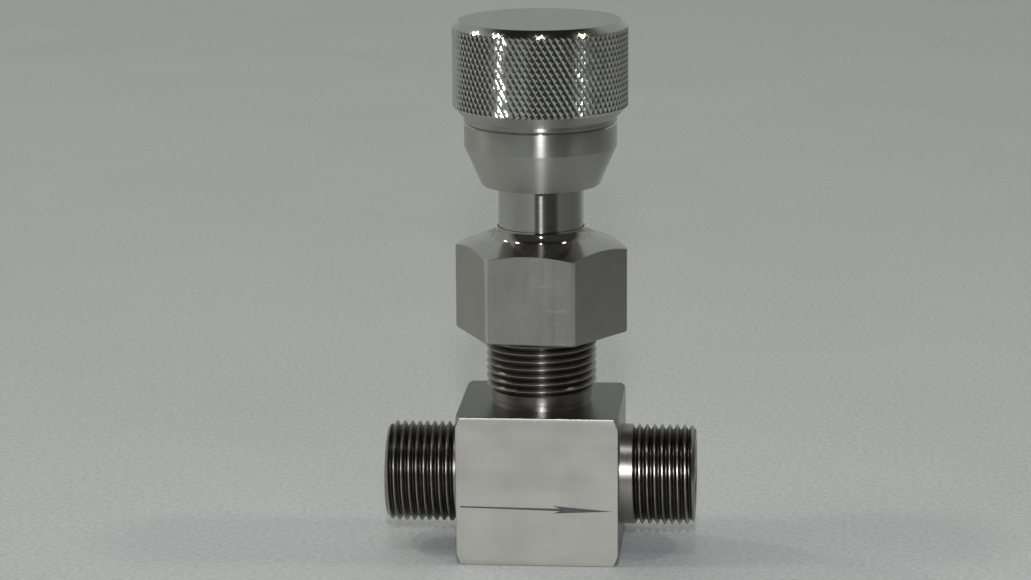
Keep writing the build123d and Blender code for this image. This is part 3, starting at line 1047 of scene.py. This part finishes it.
def knurl_tree():
    """A knurled band round the Z axis, as an open shell, one row longer than the band at each end."""
    tree = bpy.data.node_groups.new("knurl", "GeometryNodeTree")
    given = tree_inputs(
        tree,
        ("Radius", "Bottom", "Row Height", "Depth", "Cross Depth", "Lower Slope", "Upper Slope"),
        ("Grooves", "Rows", "Seed"), ("Material",),
    )
    around = given["Grooves"] * CELLS_PER_GROOVE
    rows = given["Rows"] + 2.0
    grid = node(tree, "GeometryNodeMeshGrid", {
        "Size X": around, "Size Y": rows, "Vertices X": around + 1.0,
        "Vertices Y": rows + 1.0
    })
    lift = node(tree, "GeometryNodeExtrudeMesh", {
        "Mesh": grid.outputs["Mesh"], "Offset Scale": 0.0, "Individual": True
    }, mode="FACES")
    shrink = node(tree, "GeometryNodeScaleElements", {
        "Geometry": lift.outputs["Mesh"], "Selection": lift.outputs["Top"], "Scale": 0.0
    }, domain="FACE")
    join = node(tree, "GeometryNodeMergeByDistance", {"Geometry": shrink.outputs[0], "Distance": 0.05})
    across, along = grid_place(tree)
    column = across + around / 2.0
    row = along + rows / 2.0 - 1.0
    place = node(tree, "ShaderNodeCombineXYZ", {"X": across, "Y": along, "Z": given["Seed"]})
    uneven = ramp(tree, noise(tree, place.outputs[0], 0.09, 2.0), 0.35, 0.65, 0.82, 1.0)
    grooves = []
    for operation, depth, half in (
        ("ADD", given["Depth"], GROOVE_CELLS),
        ("SUBTRACT", given["Cross Depth"], CROSS_CELLS),
    ):
        line = column.of(operation, row) / CELLS_PER_GROOVE
        beside = (line - line.of("ROUND")).of("ABSOLUTE")
        grooves.append(ramp(tree, beside, 0.0, half / CELLS_PER_GROOVE, 1.0, 0.0) * depth * uneven)
    main, cross = grooves
    bottom, step_up = given["Bottom"], given["Row Height"]
    height = row.of("MULTIPLY_ADD", step_up, bottom)
    top = given["Rows"].of("MULTIPLY_ADD", step_up, bottom)
    below = (bottom - height) * given["Lower Slope"]
    above = (height - top) * given["Upper Slope"]
    bevelled = below.of("MAXIMUM", above).of("MAXIMUM", 0.0)
    radius = given["Radius"] - main.of("MAXIMUM", cross).of("MAXIMUM", bevelled)
    # The share of the main groove's depth is kept for the finish, which paints shade into the floors.
    share = main.of("DIVIDE", given["Depth"], clamp=True)
    pressed = share * bevelled.of("LESS_THAN", main)
    shell = keep_number(tree, join.outputs[0], "sunk", pressed)
    shell = wrap_round(tree, shell, column / around, radius, height)
    end_tree(tree, shell, given["Material"])
    return tree


knurl = knurl_tree()
print("knurl tree with", len(knurl.nodes), "nodes")

# %% [markdown]
# ## The cap
# The upper half of the knob: a round cap with a flat faced top, a bright bevel, the knurled rim and a
# short collar below. The knurled shell comes from the tree, and the rest of the outline is turned with
# as many columns, so that the two weld into one closed piece.

# %% Cap
grooves_round = 85
knurl_rows = 56
top_bevel = (1.3, 1.55)  # across and up
lower_bevel = (2.2, 2.3)
collar_radius = skirt_radius
collar_top = parting + 0.95
rim_bottom = collar_top + lower_bevel[1]
rim_top = cap_top - top_bevel[1]
row_height = (rim_top - rim_bottom) / knurl_rows
knurl_columns = grooves_round * CELLS_PER_GROOVE
upper_slope = top_bevel[0] / top_bevel[1]
lower_slope = lower_bevel[0] / lower_bevel[1]

rim = run_tree(
    knurl,
    {
        "Radius": cap_radius * MM,
        "Bottom": rim_bottom * MM,
        "Row Height": row_height * MM,
        "Depth": 0.27 * MM,
        "Cross Depth": 0.19 * MM,
        "Lower Slope": lower_slope,
        "Upper Slope": upper_slope,
        "Grooves": grooves_round,
        "Rows": knurl_rows,
        "Seed": 3,
        "Material": finish["knurl"],
    },
)
shape = bmesh.new()
shape.from_mesh(rim)
face_ring = 8.0  # a ring on the top face
roof_bottom = cap_top - 4.4
hollow_radius = 12.0
spigot_top = skirt_high.z + 0.1
cap_outline = [
    (cap_radius - row_height * upper_slope, rim_top + row_height),
    (cap_radius - top_bevel[0] + 0.05, cap_top - 0.06),
    (cap_radius - top_bevel[0] - 0.05, cap_top),
    (face_ring, cap_top), (0, cap_top), (0, roof_bottom), (hollow_radius, roof_bottom),
    (hollow_radius, spigot_top), (spigot_radius, spigot_top), (spigot_radius, parting),
    (collar_radius - 0.25, parting), (collar_radius - 0.06, parting + 0.1),
    (collar_radius, parting + 0.25), (collar_radius, collar_top),
    (cap_radius - row_height * lower_slope, rim_bottom - row_height),
]
ring_faces(shape, evenly(knurl_columns), cap_outline, closed=False)
cap = finish_mesh(shape, "knob_cap_knurled", radians(20))
dress(cap, "knurl", "bevel", "cap_top", "skirt")
print("cap faces", len(cap.data.polygons), "open edges", open_edges(cap))

# %% [markdown]
# ## Which part of the cap is which
# The bevels and the collar are bright, the top face is faced, and the rim is knurled. The faces of
# each are found by height, way and radius.

# %% Cap finishes
for face in cap.data.polygons:
    height = face.center.z / MM
    radius = face.center.xy.length / MM
    if height > cap_top - 0.05:
        face.material_index = 2
    elif height > rim_top + row_height:
        face.material_index = 1
    elif height < rim_bottom - row_height or radius < spigot_radius + 0.5:
        face.material_index = 3
print("cap faces by finish", by_finish(cap))

# %% [markdown]
# ## What is inside
# The needle, stem, packing and small parts keep the frame's shapes. Each still gets its own finish,
# because the library may show them taken apart.

# %% Inner finishes
inner = {
    "inner": ["needle", "stem", "packing_gland", "packing_washer", "knob_washer", "knob_nut"],
    "hard": ["seat_insert", "thrust_ball", "needle_pin_1", "needle_pin_2"],
    "bronze": ["stem_bush"],
    "ptfe": [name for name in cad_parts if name.startswith("packing_ring")],
}
for kind, names in inner.items():
    for name in names:
        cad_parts[name].data.materials.clear()
        dress(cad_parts[name], kind)
print("inner parts finished", sum(len(names) for names in inner.values()))

# %% [markdown]
# ## What rides on what
# The block with its ports, neck, nut and barrel stands still. The knob turns with the spindle and rises
# with it.

# %% Riding and replacing
for piece, owner, slot_name, stands_for in (
    (block, "body", "body_metal", ["valve_body"]),
    (outlet_port, "body", "body_metal", []),
    (inlet_port, "body", "body_metal", []),
    (neck, "body", "body_metal", []),
    (flow_arrow, "body", "body_metal", []),
    (nut, "body", "nut_metal", ["union_nut"]),
    (barrel, "body", "barrel_metal", ["bonnet"]),
    (skirt, "spindle", "knob_metal", ["knob_skirt"]),
    (cap, "spindle", "knob_metal", ["knob_cap"]),
):
    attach(piece, owner)
    if stands_for:
        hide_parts(*stands_for)

# %% [markdown]
# ## The floor
# The valve stands on a pale grey sheet. In reflections the sheet ends two hands' width in front of
# the valve and to its right, and the room beyond is dark: that draws the dark bands on polished metal.
# A dark floor in plain sight would look odd, so only glossy rays see the dark part.

# %% Floor


FLOOR_DARK, FLOOR_PALE = (0.52, 0.545, 0.545), (0.70, 0.73, 0.73)
FLOOR_ENDS = (0.12, 0.19)  # metres from the valve, where the sheet fades out


def floor_finish():
    """A pale, finely grained sheet, with a dark room beyond it that only reflections show."""
    made, tree, shader = new_finish("pale_sheet")
    where = node(tree, "ShaderNodeTexCoord").outputs["Object"]
    clouds = noise(tree, where, 14.0, 4.0)
    grain = ramp(tree, noise(tree, where, 900.0, 2.0), 0.35, 0.65)
    share = grain.of("MULTIPLY_ADD", 0.6, clouds * 0.4)
    feed(tree, shader.inputs["Base Color"], blend(tree, share, FLOOR_DARK, FLOOR_PALE))
    shader.inputs["Roughness"].default_value = 0.6
    x, y, _ = own_place(tree)
    ahead = y * -1.0
    away = (x.of("POWER", 2.0) + ahead.of("POWER", 2.0)).of("SQRT")
    bearing = x.of("ARCTAN2", ahead)
    past = ramp(tree, away, *FLOOR_ENDS)
    begins = ramp(tree, bearing, radians(-15), radians(-9))
    thins = ramp(tree, bearing, radians(44), radians(54), 1.0, 0.5)
    ends = ramp(tree, bearing, radians(125), radians(150), 1.0, 0.0)
    gone = past * begins * (thins * ends)
    mirror = node(tree, "ShaderNodeLightPath").outputs["Is Glossy Ray"]
    room = node(tree, "ShaderNodeBsdfDiffuse", {"Color": (0.03, 0.03, 0.03, 1.0)})
    both = node(tree, "ShaderNodeMixShader")
    for i, term in enumerate((gone * mirror, shader.outputs[0], room.outputs[0])):
        feed(tree, both.inputs[i], term)
    feed(tree, tree.nodes["Material Output"].inputs["Surface"], both.outputs[0])
    return made


shape = bmesh.new()
bmesh.ops.create_grid(shape, x_segments=8, y_segments=8, size=4.0)
floor = finish_mesh(shape, "floor")
floor.data.materials.append(floor_finish())
print("floor side", round(floor.dimensions.x, 1), "metres")

# %% [markdown]
# ## The room's light
# The world gives a pale wall behind and to the left, and a dark ceiling. Polished surfaces that look
# up stay dark, apart from a few lamps. Where the camera sees past the floor, it sees plain grey.

# %% World


WALL_TOP = (0.70, 0.88)  # how far up a direction points where the wall fades into the ceiling
WALL_GLOW, CEILING_GLOW, PLAIN_GREY = 0.38, 0.02, 0.36


def make_world():
    """Pale wall, dark ceiling, and plain grey where the camera looks past the floor."""
    world = bpy.data.worlds.new("room")
    scene.world = world
    world.use_nodes = True
    tree = world.node_tree
    x, y, z = split_up(tree, node(tree, "ShaderNodeTexCoord").outputs["Generated"])
    wall = ramp(tree, z, *WALL_TOP, 1.0, 0.0)
    back = x.of("MULTIPLY_ADD", -0.35, y)
    behind = ramp(tree, back, -0.1, 0.35, 0.1, 1.0)
    glow = (wall * behind).of("MULTIPLY_ADD", WALL_GLOW, CEILING_GLOW)
    strength = node(tree, "ShaderNodeMix", {
        "Factor": node(tree, "ShaderNodeLightPath").outputs["Is Camera Ray"], "A": glow,
        "B": PLAIN_GREY
    }, data_type="FLOAT")
    background = tree.nodes["Background"]
    background.inputs["Color"].default_value = (0.95, 1.0, 0.99, 1.0)
    feed(tree, background.inputs["Strength"], strength.outputs["Result"])


make_world()
print("world made")

# %% [markdown]
# ## The lamps
# One small lamp above the lens gives the bright upright line on every round part. Three warm lamps and
# a cool one, high up, give the small spots on the cone and on the knob's bevel. Three wide soft lights
# light the floor and every dull surface, and reflections don't show them.

# %% Lamps


def lamp(name, place, size, power, colour, mirrored=True):
    """A round area lamp that looks at the valve's middle. Sizes are in metres and power in watts."""
    data = bpy.data.lights.new(name, "AREA")
    data.shape = "DISK"
    data.size = size
    data.energy = power
    data.color = colour
    made = bpy.data.objects.new(name, data)
    made.location = place
    made.rotation_euler = (Vector(middle) - Vector(place)).to_track_quat("-Z", "Y").to_euler()
    made.visible_glossy = mirrored
    made.visible_camera = False
    scene.collection.objects.link(made)
    return made


def seen_on_bevel(azimuth):
    """Where a lamp is so that the knob's top bevel shows it at this azimuth from the lens."""
    azimuth = radians(azimuth) + camera_azimuth
    inwards, upwards = top_bevel
    outward = Vector((upwards * sin(azimuth), -upwards * cos(azimuth), inwards)).normalized()
    spot = Vector((cap_radius * sin(azimuth), -cap_radius * cos(azimuth), rim_top)) * MM
    to_lens = (stand - spot).normalized()
    return spot + (2 * outward.dot(to_lens) * outward - to_lens) * lamp_distance


lamp_distance = 2.4  # metres
lens_lamp_height = 0.09  # metres above the lens
middle = (0.0, 0.0, 0.05)
warm, cool, daylight = (1.0, 0.93, 0.78), (0.96, 0.98, 1.0), (0.98, 1.0, 1.0)
lamp("lens_lamp", stand + Vector((0, 0, lens_lamp_height)), 0.03, 1.8, (0.94, 0.97, 1.0))
lamp("soft_top", (-0.3, 0.6, 3.0), 3.0, 12.0, daylight, mirrored=False)
lamp("soft_front", (0.9, -1.6, 1.0), 1.4, 2.8, daylight, mirrored=False)
lamp("soft_left", (-1.7, -0.6, 0.8), 1.4, 2.8, daylight, mirrored=False)
for name, azimuth in (("ceiling_left", -47.5), ("ceiling_middle", -29.5), ("ceiling_right", 28.5)):
    lamp(name, seen_on_bevel(azimuth), 0.22, 5.0, warm)
lamp("ceiling_front", seen_on_bevel(0.0), 0.14, 3.0, cool)
scene.view_settings.view_transform = "Standard"
